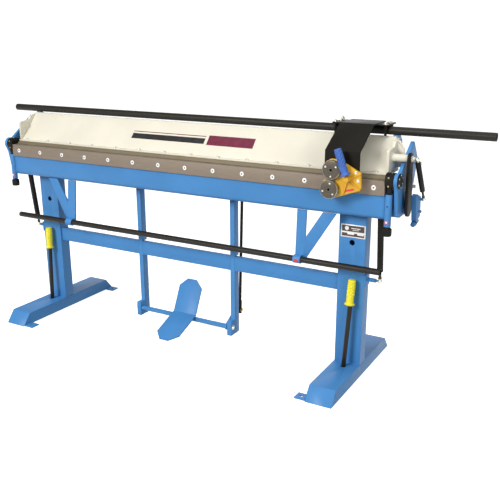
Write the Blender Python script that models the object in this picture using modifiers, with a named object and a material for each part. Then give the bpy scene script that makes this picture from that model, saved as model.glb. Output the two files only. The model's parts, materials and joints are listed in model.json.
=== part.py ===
"""Sheet metal brake: a two metre bench folder with a foot-operated clamping beam and a rail-guided roller cutter.

Metres, +Z up, the front is -Y and the bending length runs along X. The parts are placed about the machine's own
mid plane and moved together at the end, because the cutter's rail overhangs further on the right.
"""

import math

import bmesh
import bpy
from mathutils import Matrix, Vector

# ---- driving dimensions --------------------------------------------------------------------------
GAP = 0.0003  # clearance between parts that touch
RAIL_ENDS = (-1.155, 1.390)  # the rail overhangs on the right, where the cutter is parked
MACHINE_X = -sum(RAIL_ENDS) / 2  # puts the centre of the whole object's box on the origin

BAR_HALF = 1.020  # half the length of the bending bar
HINGE = (-0.0885, 0.9054)  # y, z of the bending edge, which is also the hinge line
SHEET_GAP = 0.0011  # thickness of sheet held between the jaws

LEG_X, LEG_W = 0.865, 0.120
WALL = 0.005  # wall of the box sections that the legs and feet are made of
LEG_Y = (-0.035, 0.0265)
FOOT_HALF, FOOT_H, FOOT_SLOPE = 0.3505, 0.060, 0.048
FRAME_TOP = 0.740  # underside of the bed beam
BED_Y = (-0.012, 0.050)
BED_TOP = 0.8892
BED_LEFT = -1.0200  # the beam stops short of the left end plate to let the clamp link through
PLATE_X = (1.055, 1.070)  # inner and outer face of the end plates

BEAM_FRONT, BEAM_BOTTOM, BEAM_BACK = -0.1045, 0.746, -0.0685
BAR_T, BAR_H, BAR_LIP = 0.0097, 0.0596, 0.0062
HANDLE = (-0.112, 0.530)  # y, z of the long handle bar
HANDLE_R, HANDLE_X = 0.01345, (-1.010, 1.022)

CLAMP_LOW = HINGE[1] + SHEET_GAP  # underside of the clamping nose
CLAMP_HALF, CLAMP_END = 1.0027, 1.0155
CLAMP_TOP = (0.056, 1.058)
CLAMP_BACK = 0.066
TRUNNION = (-0.029, 0.987)
TRUNNION_R = 0.0155
LINK_X = (1.0835, 1.0955)
LEFT_TRUNNION = (0.0, 0.987)  # the left link works inside the end plate
LEFT_LINK_X = (1.0240, 1.0360)

SHAFT = (0.030, 0.790)  # y, z of the clamp shaft
SHAFT_R = 0.014
CRANK_R, CRANK_ANGLE = 0.0571, math.radians(195)  # the crank points forwards and 15 degrees down
ADJUSTER_X, ADJUSTER_Y = 1.0355, -0.102  # upright axis of the height adjusters
STRUT_X = 1.118  # plane of the short gas spring
STRUT_LOW = (0.105, 0.800)
SPRING_X = 0.987  # plane of the long gas springs
SPRING_LOW, SPRING_TOP = (-0.008, 0.454), (-0.054, 0.869)

RAIL = (0.072, 1.079)
RAIL_R = 0.01685
TROLLEY_X, TROLLEY_HALF = 0.850, 0.120
BRACKET_X = (0.778, 0.926)
CUTTER_BACK = -0.1435  # back of the cutter's bracket: clears the hinge ears
ROLLER_R = 0.0385
UPPER_ROLLER, LOWER_ROLLER = (0.820, 0.9435), (0.8125, 0.8645)

PEDAL_AXIS = (-0.048, 0.110)
PEDAL_X, PEDAL_W, PEDAL_T = 0.007, 0.131, 0.006
POST_X = (0.2585, 0.2825)
ROD_X, ROD_LOW, ROD_TOP = 0.269, (0.044, 0.170), (0.0743, 0.798)
LEVER_FOOT, LEVER_TOP = (-0.078, 0.060), (-0.0565, 0.460)
LEVER_LEAN = {"left": 0.0, "right": 0.020}  # how far the parked levers lean to the right
GRIP_LENGTH = 0.112

BLUE = ((0.10, 0.33, 0.68), 0.42, 0.0)
CREAM = ((0.78, 0.72, 0.55), 0.45, 0.0)
STEEL = ((0.26, 0.23, 0.20), 0.45, 0.7)
NOSE = ((0.20, 0.17, 0.11), 0.45, 0.7)
DARK = ((0.045, 0.038, 0.032), 0.45, 0.3)
BLACK = ((0.02, 0.02, 0.022), 0.4, 0.2)
CHROME = ((0.75, 0.75, 0.76), 0.18, 1.0)
YELLOW = ((0.85, 0.78, 0.05), 0.5, 0.0)
OCHRE = ((0.70, 0.40, 0.06), 0.45, 0.2)
GRIP_BLUE = ((0.05, 0.14, 0.55), 0.6, 0.0)

for old in list(bpy.data.objects):
    bpy.data.objects.remove(old)
parts = bpy.data.collections.new("sheet_metal_brake")
cutters = bpy.data.collections.new("cutters")
for collection in (parts, cutters):
    bpy.context.scene.collection.children.link(collection)


# ---- building blocks -----------------------------------------------------------------------------
def material(name, look):
    colour, roughness, metallic = look
    made = bpy.data.materials.new(name)
    made.use_nodes = True
    shader = made.node_tree.nodes["Principled BSDF"]
    shader.inputs["Base Color"].default_value = (*colour, 1.0)
    shader.inputs["Roughness"].default_value = roughness
    shader.inputs["Metallic"].default_value = metallic
    return made


def place(mesh, name, look, pivot=None, matrix=None):
    """A new object in the parts collection, or among the cutters if it has no look."""
    obj = bpy.data.objects.new(name, mesh)
    (parts if look else cutters).objects.link(obj)
    if matrix is not None:
        obj.matrix_world = matrix
    if look:
        mesh.materials.append(material(name, look))
    else:
        obj.hide_render = True
        obj.display_type = "WIRE"
    if pivot is not None:
        obj.parent = pivot
        obj.matrix_parent_inverse = Matrix.Translation(-pivot.location)
    return obj


def pivot_at(name, x, yz):
    """An empty on a joint's axis, which carries that joint's pieces."""
    empty = bpy.data.objects.new(name, None)
    empty.location = (x, *yz)
    parts.objects.link(empty)
    return empty


def block(name, x, y, z, look=None, pivot=None, bevel=0.0):
    """A box between two limits on each axis, its edges bevelled where asked."""
    size = [high - low for low, high in (x, y, z)]
    middle = [(high + low) / 2 for low, high in (x, y, z)]
    mesh = bpy.data.meshes.new(name)
    bm = bmesh.new()
    bmesh.ops.create_cube(bm, size=1.0, matrix=Matrix.Diagonal((*size, 1.0)))
    bm.to_mesh(mesh)
    bm.free()
    obj = place(mesh, name, look, pivot, Matrix.Translation(middle))
    if bevel:
        edge = obj.modifiers.new("edge", "BEVEL")
        edge.width = bevel
        edge.segments = 1
    return obj


def rod(name, start, end, radius, look=None, pivot=None, sides=20, radius_end=None):
    """A round bar from one point to another."""
    start, end = Vector(start), Vector(end)
    along = end - start
    mesh = bpy.data.meshes.new(name)
    bm = bmesh.new()
    bmesh.ops.create_cone(
        bm, cap_ends=True, segments=sides, radius1=radius, radius2=radius_end or radius, depth=along.length
    )
    bm.to_mesh(mesh)
    bm.free()
    mesh.shade_smooth()
    mesh.set_sharp_from_angle(angle=math.radians(40))
    turn = Vector((0, 0, 1)).rotation_difference(along).to_matrix().to_4x4()
    return place(mesh, name, look, pivot, Matrix.Translation((start + end) / 2) @ turn)


def spun(name, profile, start, along, look, pivot, sides=16):
    """A closed profile, given in order from one end of the axis to the other, spun about it."""
    mesh = bpy.data.meshes.new(name)
    points = [(r, 0.0, d) for d, r in reversed(profile)]
    mesh.from_pydata(points, [(i, i + 1) for i in range(len(points) - 1)], [])
    turn = Vector((0, 0, 1)).rotation_difference(Vector(along)).to_matrix().to_4x4()
    obj = place(mesh, name, look, pivot, Matrix.Translation(start) @ turn)
    spin = obj.modifiers.new("spin", "SCREW")
    spin.angle = math.tau
    spin.steps = spin.render_steps = sides
    spin.use_merge_vertices = True
    spin.merge_threshold = 0.00001
    return obj


YZ = Matrix(((0, 0, 1, 0), (1, 0, 0, 0), (0, 1, 0, 0), (0, 0, 0, 1)))  # outline in Y and Z, thickness along X
XZ = Matrix(((1, 0, 0, 0), (0, 0, -1, 0), (0, 1, 0, 0), (0, 0, 0, 1)))  # outline in X and Z, thickness along Y


def flat(name, outline, span, look=None, pivot=None, plane=YZ, holes=(), matrix=None):
    """A flat plate or a prism: an outline with holes, extruded across its plane between the two limits of span."""
    curve = bpy.data.curves.new(name, "CURVE")
    curve.dimensions = "2D"
    curve.fill_mode = "BOTH"
    curve.extrude = (span[1] - span[0]) / 2
    for points in (outline, *holes):
        spline = curve.splines.new("POLY")
        spline.points.add(len(points) - 1)
        spline.use_cyclic_u = True
        for point, (a, b) in zip(spline.points, points):
            point.co = (a, b, 0.0, 1.0)
    drawn = bpy.data.objects.new(name, curve)
    cutters.objects.link(drawn)
    bpy.context.view_layer.update()
    mesh = bpy.data.meshes.new_from_object(drawn.evaluated_get(bpy.context.evaluated_depsgraph_get()))
    bpy.data.objects.remove(drawn)
    bpy.data.curves.remove(curve)
    bm = bmesh.new()
    bm.from_mesh(mesh)
    bmesh.ops.remove_doubles(bm, verts=bm.verts, dist=0.000005)
    bm.to_mesh(mesh)
    bm.free()
    mesh.name = name
    mesh.materials.clear()
    if matrix is None:
        middle = (span[0] + span[1]) / 2
        middle = -middle if plane is XZ else middle
        matrix = plane @ Matrix.Translation((0, 0, middle))
    return place(mesh, name, look, pivot, matrix)


def join(obj, *others):
    """Welds other pieces onto obj as one solid."""
    for other in others:
        weld = obj.modifiers.new("weld_" + other.name, "BOOLEAN")
        weld.operation = "UNION"
        weld.object = other
    return obj


def cut(obj, *tools):
    for tool in tools:
        hole = obj.modifiers.new("cut_" + tool.name, "BOOLEAN")
        hole.operation = "DIFFERENCE"
        hole.object = tool
    return obj


def arc(centre, radius, start, end, steps):
    """Points on an arc, with its angles in degrees."""
    turns = [math.radians(start + (end - start) * i / steps) for i in range(steps + 1)]
    return [(centre[0] + radius * math.cos(a), centre[1] + radius * math.sin(a)) for a in turns]


def circle(centre, radius, steps=20):
    return arc(centre, radius, 0, 360 - 360 / steps, steps - 1)


def round_ends(a, b, ra, rb, steps=8):
    """The outline of a link: a round end about each of two points, joined by straight sides."""
    heading = math.degrees(math.atan2(b[1] - a[1], b[0] - a[0]))
    return arc(a, ra, heading + 90, heading + 270, steps) + arc(b, rb, heading - 90, heading + 90, steps)


def span(side, x):
    """Limits along X on one side of the machine: side is -1 for the left end and 1 for the right."""
    return tuple(sorted((side * x[0], side * x[1])))


def unit(a, b):
    length = math.dist(a, b)
    return tuple((q - p) / length for p, q in zip(a, b))


SIDES = (("left", -1), ("right", 1))


# ---- the stand -----------------------------------------------------------------------------------
def stand():
    for side, s in SIDES:
        foot_and_leg(side, s)
        pedal_post(side, s)
        spring_stub(side, s)
    stretcher = block("stretcher", (-0.8047, 0.8047), (-0.025, -0.005), (0.390, 0.460), BLUE)
    laps = [
        block("lap_" + side, span(s, (POST_X[0] - GAP, POST_X[1] + GAP)), (-0.03, -0.013), (0.38, 0.47))
        for side, s in SIDES
    ]
    cut(stretcher, *laps)


def foot_and_leg(side, s):
    half = LEG_W / 2
    foot = flat(
        "foot_" + side,
        [
            (-FOOT_HALF, 0.0),
            (FOOT_HALF, 0.0),
            (FOOT_HALF - FOOT_SLOPE, FOOT_H),
            (-FOOT_HALF + FOOT_SLOPE, FOOT_H),
        ],
        span(s, (LEG_X - half, LEG_X + half)),
        BLUE,
    )
    inside = flat(
        "foot_inside_" + side,
        [(-FOOT_HALF + 0.010, WALL), (FOOT_HALF - 0.010, WALL), (FOOT_HALF - FOOT_SLOPE, FOOT_H - WALL),
         (-FOOT_HALF + FOOT_SLOPE, FOOT_H - WALL)],
        span(s, (LEG_X - half + WALL, LEG_X + half - WALL)),
    )
    tab_x = span(s, (LEG_X - half - 0.052, LEG_X - half + 0.006))
    for end, e in (("front", -1), ("back", 1)):
        tab = block(f"tab_{side}_{end}", tab_x, span(e, (0.294, 0.344)), (0.0, 0.006))
        hole_at = (s * (LEG_X - half - 0.026), e * 0.319)
        hole = rod(f"tab_hole_{side}_{end}", (*hole_at, -0.01), (*hole_at, 0.02), 0.007, sides=16)
        cut(join(foot, tab), hole)
    foot_point = Vector((s * LEG_X, *LEVER_FOOT))
    along = lever_heading(side)
    socket = rod("socket_" + side, foot_point - along * 0.045, foot_point + along * 0.02, 0.0108, sides=16)
    cut(foot, inside, socket)
    leg_x, leg_z = span(s, (LEG_X - half, LEG_X + half)), (FOOT_H + GAP, FRAME_TOP - GAP)
    leg = block("leg_" + side, leg_x, LEG_Y, leg_z, BLUE)
    inside = block(
        "leg_inside_" + side,
        (leg_x[0] + WALL, leg_x[1] - WALL),
        (LEG_Y[0] + WALL, LEG_Y[1] - WALL),
        (leg_z[0] - WALL, leg_z[1] + WALL),
    )
    pin_hole = rod("pin_hole_" + side, (s * LEG_X, -0.05, 0.614), (s * LEG_X, -0.01, 0.614), 0.012, sides=20)
    cut(leg, inside, pin_hole)


def lever_heading(side):
    return Vector((LEVER_LEAN[side], LEVER_TOP[0] - LEVER_FOOT[0], LEVER_TOP[1] - LEVER_FOOT[1])).normalized()


def pedal_post(side, s):
    """A flat post that hangs from the bed, half-lapped over the stretcher, with the pedal's pivot block on it."""
    post = block("pedal_post_" + side, span(s, POST_X), (-0.025, 0.013), (0.0705, FRAME_TOP - GAP), BLUE)
    toe = block("pivot_block_" + side, span(s, POST_X), (-0.0615, -0.024), (0.0705, 0.142))
    lap = block("post_lap_" + side, span(s, (0.25, 0.29)), (-0.0133, 0.02), (0.390 - GAP, 0.460 + GAP))
    bore = rod("pedal_bore_" + side, (s * 0.24, *PEDAL_AXIS), (s * 0.30, *PEDAL_AXIS), 0.0080, sides=16)
    cut(join(post, toe), lap, bore)


def spring_stub(side, s):
    """Bracket on the leg's outer side for the long gas spring's lower end."""
    face = LEG_X + LEG_W / 2
    y, z = SPRING_LOW
    bracket = block(
        "spring_stub_" + side, span(s, (face + GAP, face + 0.008)), (LEG_Y[0], 0.012), (z - 0.027, z + 0.024), BLUE
    )
    arm = rod("stub_arm_" + side, (s * (face + 0.004), y, z), (s * 0.970, y, z), 0.009, sides=16)
    stud = rod("stub_stud_" + side, (s * 0.965, y, z), (s * (SPRING_X - 0.0095), y, z), 0.005, sides=12)
    join(bracket, arm, stud)


def bed():
    """The fixed beam, a channel open at the back, with the hardened lower jaw on its top flange."""
    y0, y1 = BED_Y
    wall = 0.010
    flat(
        "bed_beam",
        [
            (y0, FRAME_TOP),
            (y1, FRAME_TOP),
            (y1, FRAME_TOP + wall),
            (y0 + wall, FRAME_TOP + wall),
            (y0 + wall, BED_TOP - wall),
            (y1, BED_TOP - wall),
            (y1, BED_TOP),
            (y0 - 0.028, BED_TOP),
            (y0 - 0.028, BED_TOP - 0.008),
            (y0, BED_TOP - 0.036),
        ],
        (BED_LEFT, PLATE_X[0] - GAP),
        BLUE,
    )
    block("bed_end_left", (-PLATE_X[0] + GAP, BED_LEFT - GAP), (0.016, y1), (BED_TOP - 0.040, BED_TOP), BLUE)
    jaw_y, jaw_z = (HINGE[0] + 0.001, 0.045), (BED_TOP + GAP, HINGE[1] - GAP)
    block("lower_jaw", (-BAR_HALF, BAR_HALF), jaw_y, jaw_z, STEEL)


def end_plate(side, s):
    """The upright that carries the hinge ear in front and the clamp shaft behind."""
    outline = [
        *arc(HINGE, 0.031, 62, 222, 12),
        (-0.1025, 0.862),
        (-0.0845, 0.762),
        (-0.078, 0.757),
        (-0.017, 0.7625),
        (0.058, 0.766),
        (0.080, 0.800),
        (0.101, 0.845),
        (0.120, 0.897),
        (0.143, 0.968),
        (0.0845, 1.040),
        (0.0765, 1.040),
    ]
    flat(
        "end_plate_" + side,
        outline,
        span(s, PLATE_X),
        BLUE,
        holes=[circle(HINGE, 0.0125), circle(SHAFT, SHAFT_R + 0.0006)],
    )
    if side == "right":
        flange_x = (PLATE_X[1] + GAP, PLATE_X[1] + 0.0050)
    else:
        flange_x = (PLATE_X[0] - 0.0070, PLATE_X[0] - GAP)
    ring = flat("hinge_flange_" + side, circle(HINGE, 0.0310, 28), span(s, flange_x), BLACK)
    if side == "left":
        cut(ring, rod("flange_bore", (-1.08, *HINGE), (-1.03, *HINGE), 0.0125, sides=20))


def strut_bracket():
    """Thick outboard bracket that holds the lower end of the short gas spring, with a stop below it."""
    inner, outer = 1.0838, 1.1035
    bracket = flat(
        "strut_bracket",
        [(0.039, 0.823), (0.064, 0.829), (0.112, 0.811), (0.115, 0.775), (0.120, 0.727), (0.068, 0.709),
         (0.060, 0.717)],
        (inner, outer),
        BLUE,
    )
    spacer = rod("spacer", (PLATE_X[1] + GAP, 0.066, 0.797), (inner + 0.004, 0.066, 0.797), 0.009, sides=16)
    stop = rod("stop", (1.0935, 0.052, 0.701), (1.0935, 0.105, 0.709), 0.0105)
    low = rod("low_stud", (outer - 0.004, *STRUT_LOW), (STRUT_X - 0.0093, *STRUT_LOW), 0.0065, sides=12)
    second = rod("second_stud", (outer - 0.004, 0.098, 0.750), (1.1130, 0.098, 0.750), 0.006, sides=12)
    join(bracket, spacer, stop, low, second)


# ---- the bending beam ----------------------------------------------------------------------------
def bending_beam(pivot):
    wall, radius = 0.010, 0.018
    top, shoulder = HINGE[1] - BAR_LIP - 2 * GAP, HINGE[1] - 0.033
    web_back = HINGE[0] - 0.001
    beam = flat(
        "bending_beam",
        [
            (web_back, top),
            (BEAM_FRONT, top),
            *arc((BEAM_FRONT + radius, BEAM_BOTTOM + radius), radius, 180, 270, 5),
            (BEAM_BACK, BEAM_BOTTOM),
            (BEAM_BACK, BEAM_BOTTOM + wall),
            (BEAM_FRONT + wall, BEAM_BOTTOM + wall),
            (BEAM_FRONT + wall, shoulder - wall),
            (BEAM_BACK, shoulder - wall),
            (BEAM_BACK, shoulder),
            (web_back, shoulder),
        ],
        (-BAR_HALF, BAR_HALF),
        BLUE,
        pivot,
    )
    y, z = SPRING_TOP
    for side, s in SIDES:
        lug = flat(
            "lug_" + side,
            [(BEAM_FRONT + 0.004, z - 0.025), *arc((y, z), 0.010, -60, 90, 6), (BEAM_BACK - 0.002, z + 0.010),
             (BEAM_FRONT + 0.004, z + 0.003)],
            span(s, (0.966, 0.972)),
        )
        stud = rod("lug_stud_" + side, (s * 0.968, y, z), (s * (SPRING_X - 0.0095), y, z), 0.005, sides=12)
        join(beam, lug, stud)
    face, back, crest = BEAM_FRONT - GAP - BAR_T, BEAM_FRONT - GAP, HINGE[1] - GAP
    flat(
        "bending_bar",
        [(face, HINGE[1] - BAR_H), (back, HINGE[1] - BAR_H), (back, crest - BAR_LIP), (web_back, crest - BAR_LIP),
         (web_back, crest), (face, crest)],
        (-BAR_HALF, BAR_HALF),
        STEEL,
        pivot,
    )
    for side, s in SIDES:
        hinge_barrel(side, s, pivot)
        handle_bracket(side, s, pivot)
    rod("handle_bar", (HANDLE_X[0], *HANDLE), (HANDLE_X[1], *HANDLE), HANDLE_R, DARK, pivot, sides=24)


def hinge_barrel(side, s, pivot):
    """The hinge block with its pin, and the tube below it that holds the height adjuster."""
    end = PLATE_X[0] - (0.0005 if side == "right" else 0.0075)
    barrel = rod(
        "hinge_barrel_" + side, (s * (BAR_HALF + GAP), *HINGE), (s * end, *HINGE), 0.032, BLACK, pivot, sides=28
    )
    pin = rod("pin_" + side, (s * 1.04, *HINGE), (s * (PLATE_X[1] - 0.0005), *HINGE), 0.012, sides=20)
    neck = rod("neck_" + side, (s * ADJUSTER_X, ADJUSTER_Y, 0.8525), (s * ADJUSTER_X, ADJUSTER_Y, 0.890), 0.0112)
    join(barrel, pin, neck)
    tube = rod(
        "adjuster_tube_" + side,
        (s * ADJUSTER_X, ADJUSTER_Y, 0.722),
        (s * ADJUSTER_X, ADJUSTER_Y, 0.8522),
        0.0140,
        BLUE,
        pivot,
        sides=24,
    )
    seat = block(
        "tube_seat_" + side, span(s, (BAR_HALF + GAP, 1.030)), (BEAM_FRONT, BEAM_BACK), (0.752, 0.846)
    )
    join(tube, seat)


def adjuster_knob(side, s):
    pivot = pivot_at("knob_axis_" + side, s * ADJUSTER_X, (ADJUSTER_Y, 0.70))
    profile = [(0.0, 0.0), (0.0, 0.0170), (0.003, 0.0188), (0.030, 0.0188), (0.034, 0.0130), (0.0385, 0.0115),
               (0.0385, 0.0)]
    spun("adjuster_knob_" + side, profile, (s * ADJUSTER_X, ADJUSTER_Y, 0.6832), (0, 0, 1), BLACK, pivot, sides=18)
    return pivot


def handle_bracket(side, s, pivot):
    """A V of flat bar that hangs from the beam and holds the handle bar."""
    top, low = BEAM_BOTTOM - GAP, 0.512
    if side == "right":
        outline = [
            (0.637, top), (0.630, low), (0.668, low), (0.815, top), (0.754, top), (0.677, 0.6255), (0.681, top),
        ]
    else:
        outline = [(-0.613, top), (-0.634, low), (-0.676, low), (-0.793, top), (-0.735, top), (-0.673, 0.630),
                   (-0.661, top)]
    y, z = HANDLE
    inner, outer = HANDLE_R + GAP, HANDLE_R + 0.0045
    y1 = y + inner
    bracket = flat("handle_bracket_" + side, outline, (y1, y1 + 0.008), BLUE, pivot, plane=XZ)
    saddle = [
        (y1 + 0.004, z + outer), *arc(HANDLE, outer, 90, 270, 12), (y1 + 0.004, z - outer), (y1 + 0.004, z - inner),
        *arc(HANDLE, inner, 270, 90, 12), (y1 + 0.004, z + inner),
    ]
    x = sorted((outline[1][0], outline[2][0]))
    join(bracket, flat("saddle_" + side, saddle, (x[0] + 0.002, x[1] - 0.002)))


# ---- the clamping beam ---------------------------------------------------------------------------
def clamping_beam(pivot):
    base = (CLAMP_LOW + 0.0127 + GAP, CLAMP_LOW + 0.0127 + GAP + 0.008)
    low = base[1] + GAP
    nose_top = base[0] - GAP
    back = CLAMP_BACK
    flat(
        "clamp_nose",
        [
            (HINGE[0] + 0.0010, CLAMP_LOW),
            (0.010, CLAMP_LOW),
            (0.010, nose_top),
            (HINGE[0] + 0.0010 + nose_top - CLAMP_LOW, nose_top),
        ],
        (-1.0107, 1.0107),
        NOSE,
        pivot,
    )
    block("clamp_base_plate", (-CLAMP_END, CLAMP_END), (-0.0685, back), base, CREAM, pivot)
    top_y, top_z = CLAMP_TOP
    wall = 0.006
    lean = (top_y + 0.058) / (top_z - low)
    flat(
        "clamp_beam",
        [(-0.058, low), (back, low), (back, top_z), (top_y, top_z)],
        (-CLAMP_HALF, CLAMP_HALF),
        CREAM,
        pivot,
        holes=[
            [
                (-0.058 + 2.6 * wall, low + wall),
                (back - wall, low + wall),
                (back - wall, top_z - 1.5 * wall),
                (-0.058 + 1.45 * wall + lean * (top_z - 1.5 * wall - low), top_z - 1.5 * wall),
            ]
        ],
    )
    for side, s in SIDES:
        beam_end(side, s, pivot, low)
        rail_arm(side, s, pivot)
    rod("cutter_rail", (RAIL_ENDS[0], *RAIL), (RAIL_ENDS[1], *RAIL), RAIL_R, DARK, pivot, sides=28)


def beam_end(side, s, pivot, low):
    """A thick plate closes the beam's end and carries the trunnion that the clamp link pulls on."""
    plate = flat(
        "beam_end_" + side,
        [
            (-0.062, low),
            (CLAMP_BACK, low),
            (CLAMP_BACK, CLAMP_TOP[1] - 0.004),
            (0.040, 1.050),
            (0.014, 1.043),
            (0.002, 1.024),
            (-0.052, 1.020),
            (-0.062, 1.013),
        ],
        span(s, (CLAMP_HALF + GAP, CLAMP_END)),
        CREAM,
        pivot,
    )
    if side == "right":
        stub = rod("trunnion", (1.010, *TRUNNION), (LINK_X[0] - 0.0005, *TRUNNION), TRUNNION_R, sides=24)
        pin = rod("trunnion_pin", (1.070, *TRUNNION), (STRUT_X - 0.0093, *TRUNNION), 0.008, sides=16)
        gusset = flat(
            "gusset",
            [(1.010, 0.940), (1.0500, 0.940), (1.0500, 1.014), (1.0300, 1.046), (1.010, 1.052)],
            (0.024, 0.030),
            plane=XZ,
        )
        join(plate, stub, pin, gusset)
    else:
        join(plate, rod("left_trunnion", (-1.010, *LEFT_TRUNNION), (-1.0370, *LEFT_TRUNNION), 0.008, sides=16))


def rail_arm(side, s, pivot):
    """A bracket behind the beam that the cutter's rail lies on."""
    y, z = RAIL
    seat = z - RAIL_R - GAP
    flat(
        "rail_arm_" + side,
        [(CLAMP_BACK + GAP, 0.975), (0.106, 0.975), (0.114, 1.010), (0.112, 1.040), (y + 0.014, seat),
         (CLAMP_BACK + GAP, seat)],
        span(s, (0.984, 1.010)),
        BLUE,
        pivot,
    )


def clamp_link(side, s, pivot, crank_pin):
    """The black lever that pulls the trunnion down to clamp. The left one is slimmer and works inside its plate."""
    if side == "right":
        top, low, top_r, low_r, x = TRUNNION, (-0.0170, 0.7800), 0.0240, 0.0290, LINK_X
    else:
        top, low, top_r, low_r, x = LEFT_TRUNNION, crank_pin, 0.0200, 0.0200, LEFT_LINK_X
    flat(
        "clamp_link_" + side,
        round_ends(top, low, top_r, low_r),
        span(s, x),
        BLACK,
        pivot,
        holes=[circle(top, 0.0085, 16)],
    )


def clamp_shaft(pivot, crank_pin):
    """The cross shaft with its two end cranks and the arm that the pedal rod works."""
    shaft = rod("clamp_shaft", (-PLATE_X[1], *SHAFT), (1.0828, *SHAFT), SHAFT_R, BLUE, pivot, sides=24)
    crank = round_ends(SHAFT, crank_pin, 0.019, 0.013)
    join(
        shaft,
        flat("crank_right", crank, (1.0758, 1.0825)),
        flat("crank_left", crank, (-1.0445, -1.0370)),
        flat("rod_arm", round_ends(SHAFT, ROD_TOP, 0.019, 0.010), (0.2765, 0.2835)),
    )


# ---- gas springs ---------------------------------------------------------------------------------
def spring_body(name, x, eye_at, far_end, body_r, rod_r, body_length, pivot):
    """The cylinder: an eye, a neck and a tube that is bored for the rod."""
    dy, dz = unit(eye_at, far_end)
    eye = 0.0088
    bore = rod_r + 0.001
    profile = [
        (-eye, 0.0), (-eye, 0.0040), (-0.0040, eye), (0.0040, eye), (eye, 0.0045), (0.016, 0.0045),
        (0.018, body_r), (body_length, body_r), (body_length, bore), (0.026, bore), (0.026, 0.0),
    ]
    return spun(name, profile, (x, *eye_at), (0, dy, dz), BLACK, pivot)


def spring_rod(name, x, eye_at, far_end, rod_r, length, pivot):
    """The rod: an eye and a plain polished bar."""
    dy, dz = unit(eye_at, far_end)
    eye = 0.0088
    profile = [
        (-eye, 0.0), (-eye, 0.0040), (-0.0040, eye), (0.0040, eye), (eye, 0.0060), (0.018, 0.0060),
        (0.018, rod_r), (length, rod_r), (length, 0.0),
    ]
    return spun(name, profile, (x, *eye_at), (0, dy, dz), CHROME, pivot)


def short_spring():
    """Pushes the clamping beam's end up: the cylinder hangs from the trunnion, the rod stands on the bracket."""
    low = pivot_at("strut_low", STRUT_X, STRUT_LOW)
    spring_rod("strut_rod", STRUT_X, STRUT_LOW, TRUNNION, 0.004, 0.150, low)
    spring_body("strut_body", STRUT_X, TRUNNION, STRUT_LOW, 0.0105, 0.004, 0.178, low)


def long_springs(side, s):
    """Helps the bending beam up: the cylinder hangs from the beam's lug, the rod ends on the leg's stub."""
    top = pivot_at("spring_top_" + side, s * SPRING_X, SPRING_TOP)
    spring_body("spring_body_" + side, s * SPRING_X, SPRING_TOP, SPRING_LOW, 0.0132, 0.005, 0.372, top)
    spring_rod("spring_rod_" + side, s * SPRING_X, SPRING_LOW, SPRING_TOP, 0.005, 0.300, top)


# ---- the pedal -----------------------------------------------------------------------------------
def pedal():
    pivot = pivot_at("pedal_pivot", 0.0, PEDAL_AXIS)
    bend = (-0.050, 0.131)
    lower = board("pedal_plate", bend, (-0.933, -0.359), 0.155, 0.198, BLUE, pivot)
    upper = board("upper_board", bend, (0.438, 0.899), 0.134, 0.173, None, None)
    join(lower, upper)
    half = POST_X[0] - 0.0015
    shaft = rod("pedal_shaft", (-half, *PEDAL_AXIS), (half, *PEDAL_AXIS), 0.0118, BLUE, pivot)
    journal = rod("journal", (-POST_X[1], *PEDAL_AXIS), (POST_X[1], *PEDAL_AXIS), 0.0075, sides=16)
    arm_x = (0.2465, 0.2545)
    arm = flat("pedal_arm", round_ends(PEDAL_AXIS, ROD_LOW, 0.016, 0.010), arm_x)
    pin = rod("arm_pin", (arm_x[0] + 0.002, *ROD_LOW), (ROD_X - 0.0102, *ROD_LOW), 0.005, sides=12)
    join(shaft, journal, arm, pin)
    low = pivot_at("rod_pivot", ROD_X, ROD_LOW)
    bar = rod("pedal_rod", (ROD_X, *ROD_LOW), (ROD_X, *ROD_TOP), 0.0070, BLACK, low, sides=16)
    ends = [
        rod("rod_eye_" + end, (ROD_X - 0.0065, *at), (ROD_X + 0.0065, *at), 0.011, sides=16)
        for end, at in (("low", ROD_LOW), ("top", ROD_TOP))
    ]
    rise = Vector((0, *unit(ROD_LOW, ROD_TOP)))
    low_end = Vector((ROD_X, *ROD_LOW))
    join(bar, *ends, rod("rod_sleeve", low_end - rise * 0.018, low_end + rise * 0.045, 0.0098, sides=16))


def board(name, bend, heading, shoulder, length, look, pivot):
    """One board of the foot plate, which narrows from its shoulders to a short flat tip."""
    half, tip = PEDAL_W / 2, 0.025
    outline = [(-half, -0.001), (half, -0.001), (half, shoulder), (tip, length), (-tip, length), (-half, shoulder)]
    along = Vector((0, *heading))
    across = Vector((1, 0, 0))
    normal = across.cross(along)
    turn = Matrix((across, along, normal)).transposed().to_4x4()
    return flat(name, outline, (0, PEDAL_T), look, pivot, matrix=Matrix.Translation((PEDAL_X, *bend)) @ turn)


def hand_lever(side, s):
    """A loose steel lever with a yellow grip, parked in a socket in the foot and leaning on the leg."""
    foot = Vector((s * LEG_X, *LEVER_FOOT))
    pivot = pivot_at("hand_lever_axis_" + side, foot.x, LEVER_FOOT)
    along = lever_heading(side)
    reach = math.dist(LEVER_FOOT, LEVER_TOP)
    shank_top = foot + along * (reach - GRIP_LENGTH - GAP)
    rod("hand_lever_" + side, foot - along * 0.042, shank_top, 0.0100, DARK, pivot, sides=18)
    profile = [
        (0.0, 0.0), (0.0, 0.0225), (0.006, 0.0225), (0.020, 0.0160), (GRIP_LENGTH - 0.004, 0.0165),
        (GRIP_LENGTH, 0.0130), (GRIP_LENGTH, 0.0),
    ]
    spun("lever_grip_" + side, profile, foot + along * (reach - GRIP_LENGTH), tuple(along), YELLOW, pivot, sides=18)


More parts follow.
